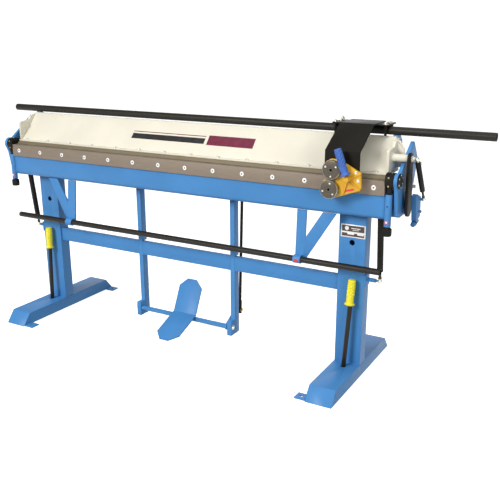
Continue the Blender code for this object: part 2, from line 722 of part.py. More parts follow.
# ---- the cutter ----------------------------------------------------------------------------------
def cutter():
    slide = pivot_at("cutter_slide_axis", TROLLEY_X, RAIL)
    swing = pivot_at("cutter_swing_axis", TROLLEY_X, RAIL)
    y, z = RAIL
    inner, outer = RAIL_R + 0.0004, 0.0200
    shoe = [*arc(RAIL, outer, 0, 180, 12), *arc(RAIL, inner, 180, 0, 12)]
    flat("rail_shoe", shoe, (TROLLEY_X - 0.100, TROLLEY_X + 0.100), BLACK, slide)
    carriage(swing, y, z)
    cutter_frame(swing)
    for name, (x, roller_z) in (("upper_roller", UPPER_ROLLER), ("lower_roller", LOWER_ROLLER)):
        axis = pivot_at(name + "_axis", x, (-0.175, roller_z))
        radius, thick, hub = ROLLER_R, 0.020, 0.012
        profile = [(0.0, 0.0), (0.0, radius - 0.004), (0.004, radius), (0.017, radius), (thick, radius - 0.003),
                   (thick, hub), (thick + 0.003, hub - 0.001), (thick + 0.003, 0.0)]
        spun(name, profile, (x, -0.1638, roller_z), (0, -1, 0), CHROME, axis, sides=28)


def carriage(swing, y, z):
    """The bent bracket and the plate with guide blocks that straddles the rail."""
    t = 0.005
    top = z + 0.0205
    bend_z = 1.013
    bracket = flat(
        "cutter_bracket",
        [
            (0.140, top + t),
            (0.140, top + 2 * t),
            (0.0, top + 2 * t),
            (CUTTER_BACK - t, bend_z + 0.003),
            (CUTTER_BACK - t, 0.935),
            (CUTTER_BACK, 0.935),
            (CUTTER_BACK, bend_z),
            (0.0, top + t - 0.0005),
        ],
        BRACKET_X,
        DARK,
        swing,
    )
    plate = block(
        "trolley_plate", (TROLLEY_X - TROLLEY_HALF, TROLLEY_X + TROLLEY_HALF), (0.030, 0.140), (top, top + t + 0.001)
    )
    guides = []
    for end in (-1, 1):
        x = TROLLEY_X + end * 0.109
        stud = rod(f"front_stud_{end}", (x, y - 0.030, z - 0.020), (x, y - 0.030, top + 0.003), 0.0055, sides=16)
        guide = block(f"rear_guide_{end}", (x - 0.010, x + 0.010), (y + 0.0255, y + 0.038), (z - 0.005, top + 0.002))
        guides += [stud, guide]
    join(bracket, plate, *guides)


def cutter_frame(swing):
    """The cast frame of the roller cutter, open at the nip so that the sheet can pass."""
    throat, nip = (0.898, 0.910), 0.834
    outline = [
        (0.786, throat[1]), (0.781, 0.952), (0.792, 0.974), (0.810, 0.984), (0.835, 0.984), (0.884, 0.964),
        (0.937, 0.936), (0.941, 0.878), (0.935, 0.867), (0.856, 0.838), (0.813, 0.8215), (0.790, 0.830),
        (0.779, 0.848), (0.780, throat[0]), (nip, throat[0]), (nip, throat[1]),
    ]
    frame = flat("cutter_frame", outline, (-0.1635, CUTTER_BACK - 0.005 - GAP), OCHRE, swing, plane=XZ)
    foot, tip = Vector((0.884, -0.1860, 0.9275)), Vector((0.848, -0.1910, 1.0300))
    boss = rod("handle_boss", (0.888, -0.155, 0.912), (0.888, -0.1925, 0.912), 0.0105, sides=16)
    join(frame, boss)
    along = (tip - foot).normalized()
    length = (tip - foot).length
    profile = [(0.0, 0.0), (0.0, 0.0205), (0.007, 0.0215), (0.020, 0.0140), (length - 0.006, 0.0150),
               (length, 0.0110), (length, 0.0)]
    spun("cutter_grip", profile, foot, tuple(along), GRIP_BLUE, swing, sides=18)


# ---- the whole machine ---------------------------------------------------------------------------
def main():
    crank_pin = (SHAFT[0] + CRANK_R * math.cos(CRANK_ANGLE), SHAFT[1] + CRANK_R * math.sin(CRANK_ANGLE))
    stand()
    bed()
    bending_beam(pivot_at("bending_axis", 0.0, HINGE))
    clamping_beam(pivot_at("clamp_axis", 0.0, TRUNNION))
    clamp_shaft(pivot_at("clamp_shaft_axis", 0.0, SHAFT), crank_pin)
    for side, s in SIDES:
        end_plate(side, s)
        adjuster_knob(side, s)
        link_top = TRUNNION if side == "right" else LEFT_TRUNNION
        clamp_link(side, s, pivot_at("link_axis_" + side, s * LINK_X[0], link_top), crank_pin)
        long_springs(side, s)
        hand_lever(side, s)
    strut_bracket()
    short_spring()
    pedal()
    cutter()
    for obj in (*parts.objects, *cutters.objects):
        if obj.parent is None:
            obj.location.x += MACHINE_X


main()
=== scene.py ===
"""The looks of the sheet metal brake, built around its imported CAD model."""

import json
import math

import bmesh
import bpy
from mathutils import Matrix, Vector


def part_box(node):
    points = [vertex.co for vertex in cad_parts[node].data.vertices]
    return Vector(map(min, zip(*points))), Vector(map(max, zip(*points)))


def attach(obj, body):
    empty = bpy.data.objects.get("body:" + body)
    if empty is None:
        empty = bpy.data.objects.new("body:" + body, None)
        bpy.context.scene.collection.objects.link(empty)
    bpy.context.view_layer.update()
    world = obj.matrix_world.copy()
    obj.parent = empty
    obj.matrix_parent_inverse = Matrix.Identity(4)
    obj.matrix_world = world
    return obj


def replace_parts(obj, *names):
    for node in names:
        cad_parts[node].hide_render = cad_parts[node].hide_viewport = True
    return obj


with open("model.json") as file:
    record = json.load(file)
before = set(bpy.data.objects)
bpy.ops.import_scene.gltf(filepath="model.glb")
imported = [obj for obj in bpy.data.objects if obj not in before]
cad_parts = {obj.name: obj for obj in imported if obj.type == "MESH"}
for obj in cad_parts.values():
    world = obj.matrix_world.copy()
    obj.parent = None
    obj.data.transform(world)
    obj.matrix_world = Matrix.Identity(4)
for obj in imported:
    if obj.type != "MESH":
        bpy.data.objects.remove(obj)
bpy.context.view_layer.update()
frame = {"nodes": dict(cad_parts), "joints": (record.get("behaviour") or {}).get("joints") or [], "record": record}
NODES = frame["nodes"]
BODY_OF = {node: body for body, nodes in frame["record"]["behaviour"]["bodies"].items() for node in nodes}
SLOT_OF = {part["node"]: part["material_slot"] for part in frame["record"]["subparts"]}
SIDES = (("left", -1), ("right", 1))
UP, RIGHT, FRONT = Vector((0, 0, 1)), Vector((1, 0, 0)), Vector((0, -1, 0))
SOLID, FACET = 48, 6  # sides of a round piece and of a hexagon
SCREW_COUNT = 14  # along the bending bar, and along the base plate's ledge
STRUT_REACH, SPRING_REACH = 0.23006, 0.41754  # eye to eye at rest: the short gas spring and the long ones
RAIL_RADIUS, RAIL_WALL = 0.01685, 0.003
HANDLE_RADIUS, HANDLE_WALL = 0.01345, 0.0026
GRIP_LENGTH, GRIP_RADIUS, GRIP_FLARE = 0.112, 0.0160, 0.0225


def middle(node):
    low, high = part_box(node)
    return (low + high) / 2


def colour(red, green, blue):
    """A paint's colour, from the 0-255 scale that screens use to linear light."""
    return tuple(
        (v / 255 / 12.92 if v <= 10 else ((v / 255 + 0.055) / 1.055) ** 2.4) for v in (red, green, blue)
    )


# ---- materials -----------------------------------------------------------------------------------
def new_material(name, base, roughness, metallic=0.0, coat=0.0, specular=0.5):
    made = bpy.data.materials.new(name)
    made.use_nodes = True
    shader = made.node_tree.nodes["Principled BSDF"]
    shader.inputs["Base Color"].default_value = (*base, 1.0)
    shader.inputs["Roughness"].default_value = roughness
    shader.inputs["Metallic"].default_value = metallic
    shader.inputs["Coat Weight"].default_value = coat
    shader.inputs["Coat Roughness"].default_value = 0.12
    shader.inputs["Specular IOR Level"].default_value = specular
    return made, made.node_tree, shader


def noise(tree, scale, detail=4.0, stretch=(1, 1, 1)):
    """Noise in the object's own space, stretched along an axis where the surface has a grain."""
    coordinates = tree.nodes.new("ShaderNodeTexCoord")
    mapping = tree.nodes.new("ShaderNodeMapping")
    mapping.inputs["Scale"].default_value = stretch
    made = tree.nodes.new("ShaderNodeTexNoise")
    made.inputs["Scale"].default_value = scale
    made.inputs["Detail"].default_value = detail
    tree.links.new(coordinates.outputs["Object"], mapping.inputs["Vector"])
    tree.links.new(mapping.outputs["Vector"], made.inputs["Vector"])
    return made.outputs["Fac"]


def ramp(tree, factor, stops):
    made = tree.nodes.new("ShaderNodeValToRGB")
    elements = made.color_ramp.elements
    while len(elements) < len(stops):
        elements.new(0.5)
    for element, (position, value) in zip(elements, stops):
        element.position = position
        element.color = (*value, 1.0) if isinstance(value, tuple) else (value, value, value, 1.0)
    tree.links.new(factor, made.inputs["Fac"])
    return made.outputs["Color"]


def bump(tree, shader, height, distance, strength=1.0):
    made = tree.nodes.new("ShaderNodeBump")
    made.inputs["Distance"].default_value = distance
    made.inputs["Strength"].default_value = strength
    tree.links.new(height, made.inputs["Height"])
    tree.links.new(made.outputs["Normal"], shader.inputs["Normal"])


def mixed(tree, factor, low, high):
    """Two colours blended by a factor; low and high are colours or node outputs."""
    made = tree.nodes.new("ShaderNodeMix")
    made.data_type = "RGBA"
    tree.links.new(factor, made.inputs["Factor"])
    for socket, value in ((made.inputs[6], low), (made.inputs[7], high)):
        if isinstance(value, tuple):
            socket.default_value = (*value, 1.0)
        else:
            tree.links.new(value, socket)
    return made.outputs[2]


def paint(name, base, roughness=0.42, variation=0.05, coat=0.03, specular=0.2):
    """Sprayed enamel: a faint cloudiness, fine orange peel, and dull specks of workshop dust."""
    made, tree, shader = new_material(name, base, roughness, coat=coat, specular=specular)
    cloud = noise(tree, 6.0, 5.0)
    dark = tuple(c * (1 - variation) for c in base)
    light = tuple(min(1.0, c * (1 + variation)) for c in base)
    body = ramp(tree, cloud, [(0.35, dark), (0.65, light)])
    speck = ramp(tree, noise(tree, 160.0, 2.0), [(0.70, 0.0), (0.78, 1.0)])
    dull = tuple(c * 0.86 + 0.02 for c in base)
    tree.links.new(mixed(tree, speck, body, dull), shader.inputs["Base Color"])
    dullness = ramp(tree, cloud, [(0.3, roughness - 0.05), (0.7, roughness + 0.07)])
    tree.links.new(dullness, shader.inputs["Roughness"])
    bump(tree, shader, noise(tree, 420.0, 2.0), 0.00012, 0.5)
    return made


def worked_steel(name, base, roughness, grain=(2, 60, 60), metallic=0.55, specular=0.5):
    """Rolled or ground bar: a grain along its length, with stains and rubbed streaks."""
    made, tree, shader = new_material(name, base, roughness, metallic=metallic, specular=specular)
    streak = noise(tree, 7.0, 6.0, grain)
    stain = noise(tree, 9.0, 5.0)
    body = ramp(tree, streak, [(0.3, tuple(c * 0.88 for c in base)), (0.7, tuple(c * 1.12 for c in base))])
    rust = tuple(c * f for c, f in zip(base, (0.92, 0.80, 0.66)))
    stained = mixed(tree, ramp(tree, stain, [(0.55, 0.0), (0.75, 0.6)]), body, rust)
    dullness = ramp(tree, streak, [(0.3, roughness - 0.06), (0.7, roughness + 0.1)])
    tree.links.new(stained, shader.inputs["Base Color"])
    tree.links.new(dullness, shader.inputs["Roughness"])
    bump(tree, shader, streak, 0.00015, 0.4)
    return made


def zinc(name, base, roughness, metallic=1.0):
    made, tree, shader = new_material(name, base, roughness, metallic=metallic)
    mottle = noise(tree, 240.0, 3.0)
    body = ramp(tree, mottle, [(0.35, tuple(c * 0.9 for c in base)), (0.65, base)])
    tree.links.new(body, shader.inputs["Base Color"])
    dullness = ramp(tree, mottle, [(0.3, roughness), (0.7, roughness + 0.12)])
    tree.links.new(dullness, shader.inputs["Roughness"])
    return made


def moulded(name, base, roughness, specular=0.4):
    """Rubber or plastic from a mould: a matt skin with a fine grain, rubbed lighter in patches."""
    made, tree, shader = new_material(name, base, roughness, specular=specular)
    worn = noise(tree, 26.0, 4.0)
    lighter = tuple(min(1.0, c * 1.12 + 0.01) for c in base)
    tree.links.new(ramp(tree, worn, [(0.4, base), (0.7, lighter)]), shader.inputs["Base Color"])
    bump(tree, shader, noise(tree, 900.0, 2.0), 0.0002, 0.6)
    return made


MACHINE_X = -0.1175  # the machine's own mid plane
BLUE = colour(70, 132, 190)
MATERIALS = {
    "blue_paint": paint("blue_enamel", BLUE),
    "cream_paint": paint("cream_enamel", colour(216, 211, 194), 0.45, 0.03, 0.03),
    "tool_steel": worked_steel("bending_steel", colour(129, 116, 101), 0.55, metallic=0.25),
    "dark_tube": worked_steel("black_pipe", colour(28, 24, 16), 0.45, (1.5, 40, 40), 0.0, 0.25),
    "black_parts": paint("black_enamel", colour(16, 14, 10), 0.45, 0.10, 0.0, 0.15),
    "black_plastic": moulded("black_plastic", colour(16, 14, 11), 0.6, 0.15),
    "chrome_parts": zinc("bright_steel", colour(205, 205, 205), 0.22),
    "yellow_grip": moulded("yellow_rubber", colour(238, 224, 40), 0.55),
    "ochre_paint": paint("ochre_enamel", colour(222, 170, 48), 0.38, 0.06, 0.15),
    "blue_grip": moulded("blue_rubber", colour(66, 104, 178), 0.6, 0.25),
}
# The nose bar's colour is partly its own worked steel and partly a painted reflection: the darker olive tint
# stands in for what its sloped steel face reflects.
NOSE_STEEL_AND_REFLECTION = worked_steel("nose_steel_and_reflection", colour(122, 110, 86), 0.55, metallic=0.25)
BLACK_SHEET = paint("black_sheet", colour(20, 17, 10), 0.45, 0.08, 0.0, 0.12)
ROLLER_RIM = zinc("roller_rim", colour(158, 156, 150), 0.3)
BRIGHT = zinc("bright_zinc", colour(226, 226, 222), 0.35, 0.6)
ZINC = zinc("zinc_plate", colour(212, 208, 196), 0.28)
YELLOW_ZINC = zinc("yellow_zinc", colour(196, 178, 128), 0.3)
HOLLOW = new_material("hole_shadow", colour(20, 24, 34), 0.9)[0]
RED = moulded("red_sticker", colour(214, 56, 60), 0.5)
WHITE = moulded("white_sticker", colour(236, 232, 226), 0.5)
PLATE_DARK = moulded("nameplate_print", colour(66, 54, 50), 0.4)
PLATE_ALLOY = zinc("nameplate_alloy", colour(226, 222, 216), 0.35, 0.6)
MAROON = moulded("maroon_stripe", colour(104, 24, 52), 0.45)
STRIPE_BLACK = moulded("black_stripe", colour(30, 28, 30), 0.45)
ROD_LOOK = zinc("spring_rod_steel", colour(66, 62, 56), 0.25)
ROLLER_FACE = worked_steel("roller_face", colour(78, 70, 58), 0.45, (30, 30, 30), 0.3)


# ---- mesh building -------------------------------------------------------------------------------
def frame_at(start, along, turn=0.0):
    """The matrix that stands +Z along a direction at a point."""
    rotation = UP.rotation_difference(Vector(along)).to_matrix().to_4x4()
    return Matrix.Translation(start) @ rotation @ Matrix.Rotation(turn, 4, "Z")


def lathe(bm, profile, start, along, sides=SOLID, shape=None, turn=0.0):
    """Adds a closed turned solid.

    profile is (distance, radius) from end to end, and shape(distance, angle) changes a radius.
    """
    matrix = frame_at(start, along, turn)
    rings = []
    for d, r in profile:
        if r < 1e-7:
            rings.append([bm.verts.new(matrix @ Vector((0, 0, d)))])
            continue
        ring = []
        for i in range(sides):
            angle = math.tau * i / sides
            radius = r + (shape(d, angle) if shape else 0.0)
            point = Vector((radius * math.cos(angle), radius * math.sin(angle), d))
            ring.append(bm.verts.new(matrix @ point))
        rings.append(ring)
    for low, high in zip(rings, rings[1:]):
        for i in range(sides):
            j = (i + 1) % sides
            corners = [low[i % len(low)], low[j % len(low)], high[j % len(high)], high[i % len(high)]]
            bm.faces.new(list(dict.fromkeys(corners)))


def disc(radius, height, start=0.0):
    """The profile of a plain round disc."""
    return [(start, 0), (start, radius), (height, radius), (height, 0)]


def prism(bm, outline, low, high, matrix):
    """Adds a flat piece: an outline in the matrix's X and Y, from low to high along its Z."""
    floors = [[bm.verts.new(matrix @ Vector((x, y, z))) for x, y in outline] for z in (low, high)]
    bm.faces.new(list(reversed(floors[0])))
    bm.faces.new(floors[1])
    for i in range(len(outline)):
        j = (i + 1) % len(outline)
        bm.faces.new((floors[0][i], floors[0][j], floors[1][j], floors[1][i]))


def panel(bm, centre, across, up, width, height, thick):
    """Adds a thin rectangle that lies on a surface, facing across x up."""
    across, up = Vector(across).normalized(), Vector(up).normalized()
    matrix = Matrix((across, up, across.cross(up))).transposed().to_4x4()
    matrix.translation = Vector(centre)
    w, h = width / 2, height / 2
    prism(bm, [(-w, -h), (w, -h), (w, h), (-w, h)], 0.0, thick, matrix)


def finish(bm, name, look, body, bevel=0.0, sharp=35):
    """Turns a bmesh into a piece that rides on a body."""
    bmesh.ops.recalc_face_normals(bm, faces=bm.faces)
    mesh = bpy.data.meshes.new(name)
    bm.to_mesh(mesh)
    bm.free()
    obj = bpy.data.objects.new(name, mesh)
    bpy.context.scene.collection.objects.link(obj)
    if bevel:
        edge = obj.modifiers.new("edge", "BEVEL")
        edge.width = bevel
        edge.segments = 2
        edge.limit_method = "ANGLE"
        edge.angle_limit = math.radians(32)
        bpy.context.view_layer.update()
        evaluated = obj.evaluated_get(bpy.context.evaluated_depsgraph_get())
        obj.data = bpy.data.meshes.new_from_object(evaluated)
        obj.modifiers.clear()
        bpy.data.meshes.remove(mesh)
        mesh = obj.data
        mesh.name = name
    mesh.shade_smooth()
    mesh.set_sharp_from_angle(angle=math.radians(sharp))
    mesh.materials.clear()
    mesh.materials.append(look)
    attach(obj, body)
    return obj


def rounded(node, bevel, look=None):
    """A CAD node's own shape with its corners broken, in place of the sharp solid."""
    bm = bmesh.new()
    bm.from_mesh(NODES[node].data)
    bmesh.ops.remove_doubles(bm, verts=bm.verts, dist=0.00001)
    bmesh.ops.dissolve_limit(bm, angle_limit=math.radians(0.6), verts=bm.verts, edges=bm.edges)
    slot = SLOT_OF[node]
    obj = finish(bm, "look_" + node, look or MATERIALS[slot], BODY_OF[node], bevel)
    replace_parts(obj, node)
    return obj


def bolt(bm, at, along, head=0.008, height=0.006, washer=True, turn=0.0):
    """A hexagon head with a chamfered crown on its washer; at is on the surface."""
    at, along = Vector(at), Vector(along).normalized()
    base = 0.0
    if washer:
        w, t = head * 1.35, head * 0.18
        lathe(bm, [(0, 0), (0, w), (t, w), (t, 0)], at, along, 24)
        base = t
    rim = head * 0.14
    lathe(bm, [(base, 0), (base, head), (base + height - rim, head), (base + height, head * 0.86),
               (base + height, 0)], at, along, FACET, turn=turn)


def cap_screw(bm, at, along, radius, height, recess=0.5):
    """A round head with a deep hexagon socket."""
    depth = height * 0.6
    lathe(bm, [(0, 0), (0, radius), (height - radius * 0.15, radius), (height, radius * 0.88),
               (height, radius * recess), (height - depth, radius * recess * 0.9), (height - depth, 0)],
          at, along, 24)


def ball_joint(bm, at, towards, along_x, radius=0.0085):
    """A ball stud's socket on the end of a gas spring, with the stud's collar beside it."""
    at = Vector(at)
    steps = [(radius * -math.cos(a), radius * math.sin(a)) for a in (math.pi * i / 12 for i in range(13))]
    lathe(bm, steps, at, along_x, 28)
    lathe(bm, [(0, 0), (0, radius * 0.72), (radius * 1.6, radius * 0.72), (radius * 2.0, radius * 0.55),
               (radius * 2.0, 0)], at, towards, 24)


def weld(bm, start, end, radius=0.0028):
    """A hand-laid bead: a rope of small scales along a joint."""
    start, end = Vector(start), Vector(end)
    length = (end - start).length
    count = max(4, int(length / (radius * 0.75)))
    profile = [(0.0, 0.0)]
    for i in range(count * 3 + 1):
        wave = abs(math.sin(math.pi * i / 3))
        profile.append((length * i / (count * 3), radius * (0.80 + 0.22 * wave)))
    profile.append((length, 0.0))
    lathe(bm, profile, start, end - start, 10)


# ---- the stand -----------------------------------------------------------------------------------
def stand_details():
    """Weld beads at the legs and the stretcher, and the pedal's pivot bolts."""
    beads, bright = bmesh.new(), bmesh.new()
    pivot = eye_of("pedal_press")
    for side, s in SIDES:
        low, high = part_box("leg_" + side)
        for y in (low.y - 0.001, high.y + 0.001):
            weld(beads, (low.x + 0.004, y, low.z), (high.x - 0.004, y, low.z))
        inner = low.x if s > 0 else high.x
        bar_low, bar_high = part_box("stretcher")
        for y in (bar_low.y, bar_high.y):
            x = inner - s * 0.001
            weld(beads, (x, y, bar_low.z + 0.003), (x, y, bar_high.z - 0.003), 0.0024)
        post_low, post_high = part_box("pedal_post_" + side)
        outer = post_high.x if s > 0 else post_low.x
        cap = [
            (0, 0), (0, 0.0105), (0.0015, 0.0105), (0.002, 0.0085), (0.006, 0.0080), (0.0072, 0.0060), (0.0072, 0),
        ]
        lathe(bright, cap, (outer, pivot.y, pivot.z), RIGHT * s, 28)
    finish(beads, "weld_beads", MATERIALS["blue_paint"], "stand")
    finish(bright, "pedal_pivot_caps", ZINC, "stand")


def bracket_details():
    """Bolts, a stop ring and a mark on the strut bracket, and the two bolts on the end plate beside it."""
    bright, mark, ring = bmesh.new(), bmesh.new(), bmesh.new()
    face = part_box("strut_bracket")[0].x + 0.0197
    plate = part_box("end_plate_right")[1].x
    bolt(bright, (plate, 0.090, 0.854), RIGHT, 0.0080, 0.0130)
    lathe(bright, [(0, 0), (0, 0.0040), (0.019, 0.0040), (0.019, 0.0090), (0.024, 0.0090), (0.0275, 0.0060),
                   (0.029, 0)], (plate, 0.110, 0.947), RIGHT, 28)
    eye = eye_of("strut_tilt")
    low_eye = min((eye, eye + axis_of("strut_slide") * STRUT_REACH), key=lambda point: point.z)
    sleeve = [(0, 0.0052), (0, 0.0110), (0.0025, 0.0110), (0.003, 0.0078), (0.010, 0.0078), (0.010, 0.0052)]
    lathe(bright, sleeve, (face + 0.0004, low_eye.y, low_eye.z), RIGHT, 28)
    bolt(bright, (face + 0.0005, 0.098, 0.750), RIGHT, 0.0095, 0.0105)
    panel(mark, (face, 0.071, 0.779), (0, 1, 0), UP, 0.011, 0.020, 0.0004)
    lathe(ring, [(0, 0), (0, 0.0118), (0.010, 0.0118), (0.010, 0)], (1.0935 + MACHINE_X, 0.064, 0.7028),
          (0, 0.9888, 0.1492), 28)
    finish(bright, "bracket_bolts", BRIGHT, "stand")
    finish(mark, "bracket_mark", RED, "stand")
    finish(ring, "stop_ring", MATERIALS["black_parts"], "stand")


def saddle_sticker():
    """The small red sticker around the front of the right handle bracket's saddle."""
    bar = middle("handle_bar")
    x, radius, start, end = 0.650 + MACHINE_X, 0.01805, 165, 215
    sticker = bmesh.new()
    angles = [math.radians(start + (end - start) * i / 10) for i in range(11)]
    outline = [Vector((radius * math.cos(a), radius * math.sin(a))) for a in angles]
    inner = radius - 0.0003
    outline += [Vector((inner * math.cos(a), inner * math.sin(a))) for a in reversed(angles)]
    matrix = Matrix(((0, 0, 1), (1, 0, 0), (0, 1, 0))).to_4x4()
    matrix.translation = (x, bar.y, bar.z)
    prism(sticker, outline, -0.010, 0.010, matrix)
    finish(sticker, "saddle_sticker", RED, BODY_OF["handle_bracket_right"])


def pedal_rod_nut():
    """The nut that keeps the pedal rod's lower eye on its pin."""
    nut = bmesh.new()
    eye = eye_of("pedal_rod_swing")
    bolt(nut, (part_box("pedal_rod")[1].x, eye.y, eye.z), RIGHT, 0.0070, 0.0055)
    finish(nut, "pedal_rod_nut", YELLOW_ZINC, BODY_OF["pedal_rod"])


def nameplate():
    """A blank rating plate: an alloy frame with dark printed fields and empty white boxes."""
    low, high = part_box("leg_right")
    x, z = (low.x + high.x) / 2 + 0.003, 0.6645
    y = low.y
    width, height = 0.110, 0.056
    alloy, dark, boxes = bmesh.new(), bmesh.new(), bmesh.new()
    panel(alloy, (x, y, z), RIGHT, UP, width, height, 0.0008)
    panel(dark, (x, y - 0.0008, z + 0.0105), RIGHT, UP, width - 0.010, 0.026, 0.0003)
    panel(dark, (x, y - 0.0008, z - 0.0165), RIGHT, UP, width - 0.010, 0.014, 0.0003)
    panel(boxes, (x - 0.010, y - 0.0011, z - 0.0105), RIGHT, UP, 0.030, 0.010, 0.0003)
    panel(boxes, (x + 0.033, y - 0.0011, z - 0.0105), RIGHT, UP, 0.028, 0.010, 0.0003)
    seal = [(0, 0), (0, 0.009), (0.0004, 0.0088), (0.0004, 0)]
    lathe(boxes, seal, (x - 0.028, y - 0.0011, z + 0.011), FRONT, 32)
    panel(boxes, (x + 0.012, y - 0.0011, z + 0.012), RIGHT, UP, 0.040, 0.003, 0.0003)
    panel(boxes, (x + 0.012, y - 0.0011, z + 0.005), RIGHT, UP, 0.028, 0.002, 0.0003)
    rivets = bmesh.new()
    for dx in (-1, 1):
        for dz in (-1, 1):
            at = (x + dx * (width / 2 - 0.004), y - 0.0008, z + dz * (height / 2 - 0.004))
            lathe(rivets, [(0, 0), (0, 0.002), (0.0006, 0.0014), (0.0008, 0)], at, FRONT, 16)
    finish(alloy, "nameplate", PLATE_ALLOY, "stand", 0.0003)
    finish(dark, "nameplate_fields", PLATE_DARK, "stand")
    finish(boxes, "nameplate_boxes", WHITE, "stand")
    finish(rivets, "nameplate_rivets", ZINC, "stand")


# ---- screws and bolts ----------------------------------------------------------------------------
def bending_screws():
    """Countersunk socket screws along the bending bar, at one pitch."""
    low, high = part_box("bending_bar")
    inset = 0.045
    pitch = (high.x - low.x - 2 * inset) / (SCREW_COUNT - 1)
    z = low.z + 0.030
    rim = [(0, 0), (0, 0.0100), (0.0004, 0.0098), (0.0008, 0.0086)]
    head = rim + [(0.0008, 0.0038), (0.0001, 0.0036), (0.0001, 0)]
    heads, sockets = bmesh.new(), bmesh.new()
    for i in range(SCREW_COUNT):
        x = low.x + inset + i * pitch
        lathe(heads, head, (x, low.y - 0.0001, z), FRONT, 32)
        lathe(sockets, disc(0.0036, 0.0003), (x, low.y - 0.0002, z), FRONT, FACET)
    finish(heads, "bending_screws", BRIGHT, "bending")
    finish(sockets, "bending_screw_sockets", HOLLOW, "bending")


def ledge_screws():
    """Small screws that stand on the base plate's ledge, in front of the sloped sheet."""
    low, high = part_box("clamp_base_plate")
    inset = 0.050
    pitch = (high.x - low.x - 2 * inset) / (SCREW_COUNT - 1)
    heads = bmesh.new()
    for i in range(SCREW_COUNT):
        x = low.x + inset + i * pitch
        cap_screw(heads, (x, low.y + 0.0056, high.z), UP, 0.0054, 0.0072)
    finish(heads, "ledge_screws", BRIGHT, "clamping")


def hinge_bolts():
    """Socket screws around the right hinge flange (each hinge flange faces right, at both ends), and the barrels'
    set screws.
    """
    bolts, small, eye = bmesh.new(), bmesh.new(), bmesh.new()
    for side, _ in SIDES:
        low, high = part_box("hinge_flange_" + side)
        centre = (low + high) / 2
        if side == "right":
            face, ring = high.x, 0.0245
            lathe(eye, disc(0.0042, 0.0005), (face, centre.y, centre.z), RIGHT, 28)
            for i in range(6):
                a = math.tau * (i + 0.5) / 6
                at = (face, centre.y + ring * math.cos(a), centre.z + ring * math.sin(a))
                cap_screw(bolts, at, RIGHT, 0.0030, 0.0026)
        x = eye_of("knob_turn_" + side).x
        for dz in (-0.018, 0.016):
            cap_screw(small, (x, centre.y - 0.0265, centre.z + dz), FRONT, 0.0032, 0.0055)
        cap_screw(small, (x + 0.006, centre.y - 0.004, centre.z + 0.0312), UP, 0.0030, 0.0030)
    finish(bolts, "hinge_bolts", ZINC, "stand")
    finish(eye, "hinge_eye", HOLLOW, "stand")
    finish(small, "barrel_screws", YELLOW_ZINC, "bending")


def link_pins():
    """The bright collar that keeps the right clamp link on its trunnion."""
    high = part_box("clamp_link_right")[1]
    pivot = eye_of("link_tilt_right")
    collar = bmesh.new()
    lathe(collar, [(0, 0.0083), (0, 0.0125), (0.0035, 0.0125), (0.004, 0.0118), (0.004, 0.0083)],
          (high.x + 0.0001, pivot.y, pivot.z), RIGHT, 28)
    finish(collar, "trunnion_collar", ZINC, "clamping")


# ---- springs, tubes and grips --------------------------------------------------------------------
def eye_of(joint):
    found = next(j for j in frame["joints"] if j["name"] == joint)
    return Vector(found["pos_m"])


def axis_of(joint):
    found = next(j for j in frame["joints"] if j["name"] == joint)
    return Vector(found["axis"])


def gas_spring(name, end, body_first, reach, body_len, rod_len, body_r, rod_r, ball_r=0.0085):
    """A cylinder with a rolled end, a dark rod, and bright ball sockets at both eyes, one reach apart."""
    start, along = eye_of(f"{name}_tilt{end}"), axis_of(f"{name}_slide{end}")
    far = start + along * reach
    tube_end, rod_end = (start, far) if body_first else (far, start)
    down = (rod_end - tube_end).normalized()
    tube, shaft, sockets_t, sockets_r = (bmesh.new() for _ in range(4))
    lathe(tube, [(0.014, 0), (0.014, body_r * 0.55), (0.017, body_r * 0.9), (0.020, body_r),
                 (body_len - 0.006, body_r), (body_len - 0.004, body_r * 0.95), (body_len - 0.002, body_r),
                 (body_len, body_r * 0.82), (body_len, rod_r + 0.0008), (0.030, rod_r + 0.0008), (0.030, 0)],
          tube_end, down, SOLID)
    lathe(shaft, [(0.012, 0), (0.012, rod_r * 1.25), (0.020, rod_r * 1.25), (0.021, rod_r), (rod_len, rod_r),
                  (rod_len, 0)], rod_end, -down, 32)
    ball_joint(sockets_t, tube_end, down, RIGHT, ball_r)
    ball_joint(sockets_r, rod_end, -down, RIGHT, ball_r)
    body_part, rod_part = f"{name}_body{end}", f"{name}_rod{end}"
    tube_look = finish(tube, "look_" + body_part, MATERIALS["black_parts"], body_part)
    rod_look = finish(shaft, "look_" + rod_part, ROD_LOOK, rod_part)
    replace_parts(tube_look, body_part)
    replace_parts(rod_look, rod_part)
    finish(sockets_t, f"{name}_body_socket{end}", ZINC, body_part)
    finish(sockets_r, f"{name}_rod_socket{end}", ZINC, rod_part)


def open_tube(node, radius, wall, look):
    """A pipe with open ends, where the CAD has a solid bar."""
    low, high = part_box(node)
    y, z = (low.y + high.y) / 2, (low.z + high.z) / 2
    length = high.x - low.x
    inner, depth = radius - wall, 0.09
    near_end = [(depth, 0), (depth, inner), (0.0008, inner), (0, inner + 0.0008), (0, radius - 0.001),
                (0.001, radius)]
    profile = near_end + [(length - d, r) for d, r in reversed(near_end)]
    bm = bmesh.new()
    lathe(bm, profile, (low.x, y, z), RIGHT)
    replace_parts(finish(bm, "look_" + node, look, BODY_OF[node]), node)


